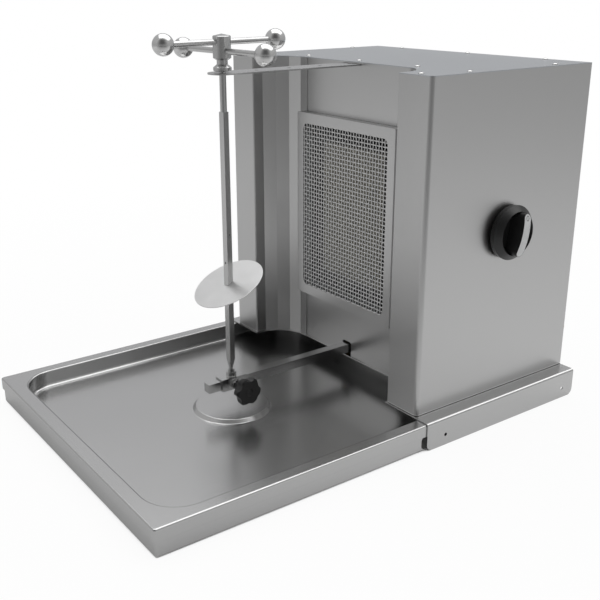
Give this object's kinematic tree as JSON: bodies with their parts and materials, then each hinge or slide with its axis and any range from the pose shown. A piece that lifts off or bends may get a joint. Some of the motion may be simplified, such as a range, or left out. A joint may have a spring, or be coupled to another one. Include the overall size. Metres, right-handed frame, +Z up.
{
  "type": "table-top gas gyro grill",
  "caption": "Stainless table-top gas gyro grill: hand-turned vertical spit on a sliding bar, drip tray, folded reflector, mesh-guarded ceramic burner and gas knob.",
  "frame": {"origin": "centre of the footprint's bounding box, on the table", "axes": "+Z up; -Y is the front, where the drip tray pulls out; +X is the side with the gas knob"},
  "size_m": [0.5151, 0.7558, 0.5551],
  "materials": {
    "brushed_panel": "satin, brushed",
    "bright_steel": "polished",
    "dark_steel": "matt, heat-darkened",
    "black_plastic": "fine texture",
    "grey_insert": "satin",
    "brass": "satin",
    "ceramic": "matt, porous ceramic",
    "rubber": "matt"
  },
  "bodies": {
    "chassis": {"base_plate": "brushed_panel", "right_side_panel": "brushed_panel", "left_side_panel": "brushed_panel", "right_reflector": "brushed_panel", "left_reflector": "brushed_panel", "centre_panel": "brushed_panel", "back_panel": "brushed_panel", "top_cover": "brushed_panel", "cover_screws": "bright_steel", "back_screws": "bright_steel", "burner_frame": "brushed_panel", "burner_mesh": "bright_steel", "burner_housing": "dark_steel", "burner_body": "dark_steel", "ceramic_plates": "ceramic", "mixing_tube": "dark_steel", "gas_injector": "brass", "gas_pipe": "brass", "gas_valve": "brass", "inlet_pipe": "brass", "gas_inlet": "brass", "thermocouple": "bright_steel", "support_bar": "bright_steel", "bar_saddle": "dark_steel", "saddle_bolt": "bright_steel", "arm_guide": "dark_steel"},
    "tray": {"drip_tray": "brushed_panel", "tray_feet": "rubber"},
    "carriage": {"bar_sleeve": "bright_steel", "clamp_nut": "bright_steel", "pivot_nut": "bright_steel"},
    "clamp_screw": {"clamp_stud": "bright_steel", "star_knob": "black_plastic"},
    "pivot": {"pivot_cup": "bright_steel"},
    "spit": {"spit_shaft": "bright_steel", "spit_collar": "bright_steel", "handle_hub": "bright_steel", "handle_rods": "bright_steel", "handle_balls": "bright_steel"},
    "disc": {"meat_disc": "bright_steel"},
    "arm": {"top_arm": "brushed_panel"},
    "push_rod": {"valve_push_rod": "bright_steel"},
    "knob": {"valve_stem": "bright_steel", "control_knob": "black_plastic", "knob_insert": "grey_insert"}
  },
  "joints": [
    {"name": "tray_slide", "type": "slide", "parent": "chassis", "child": "tray", "axis": [0, -1, 0], "range_m": [0, 0.24]},
    {"name": "carriage_slide", "type": "slide", "parent": "chassis", "child": "carriage", "axis": [0, 1, 0], "range_m": [0, 0.15]},
    {"name": "arm_slide", "type": "slide", "parent": "chassis", "child": "arm", "axis": [0, 1, 0], "range_m": [0, 0.15]},
    {"name": "clamp_turn", "type": "hinge", "parent": "carriage", "child": "clamp_screw", "pos_m": [0, -0.115, 0.056], "axis": [1, 0, 0], "range_deg": [0, 360]},
    {"name": "spit_spin", "type": "hinge", "parent": "carriage", "child": "pivot", "pos_m": [0, -0.115, 0.07], "axis": [0, 0, 1], "continuous": true},
    {"name": "spit_lift", "type": "slide", "parent": "pivot", "child": "spit", "axis": [0, 0, 1], "range_m": [0, 0.045]},
    {"name": "disc_slide", "type": "slide", "parent": "spit", "child": "disc", "axis": [0, 0, 1], "range_m": [-0.09, 0.2]},
    {"name": "knob_push", "type": "slide", "parent": "chassis", "child": "push_rod", "axis": [-1, 0, 0], "range_m": [0, 0.003], "stiffness_N_per_m": 1500, "springref_m": -0.002},
    {"name": "knob_turn", "type": "hinge", "parent": "push_rod", "child": "knob", "pos_m": [0.22, 0.2035, 0.2839], "axis": [1, 0, 0], "range_deg": [0, 180]}
  ],
  "couplings": [
    {"joint": "arm_slide", "follows": "carriage_slide", "ratio": 1}
  ]
}
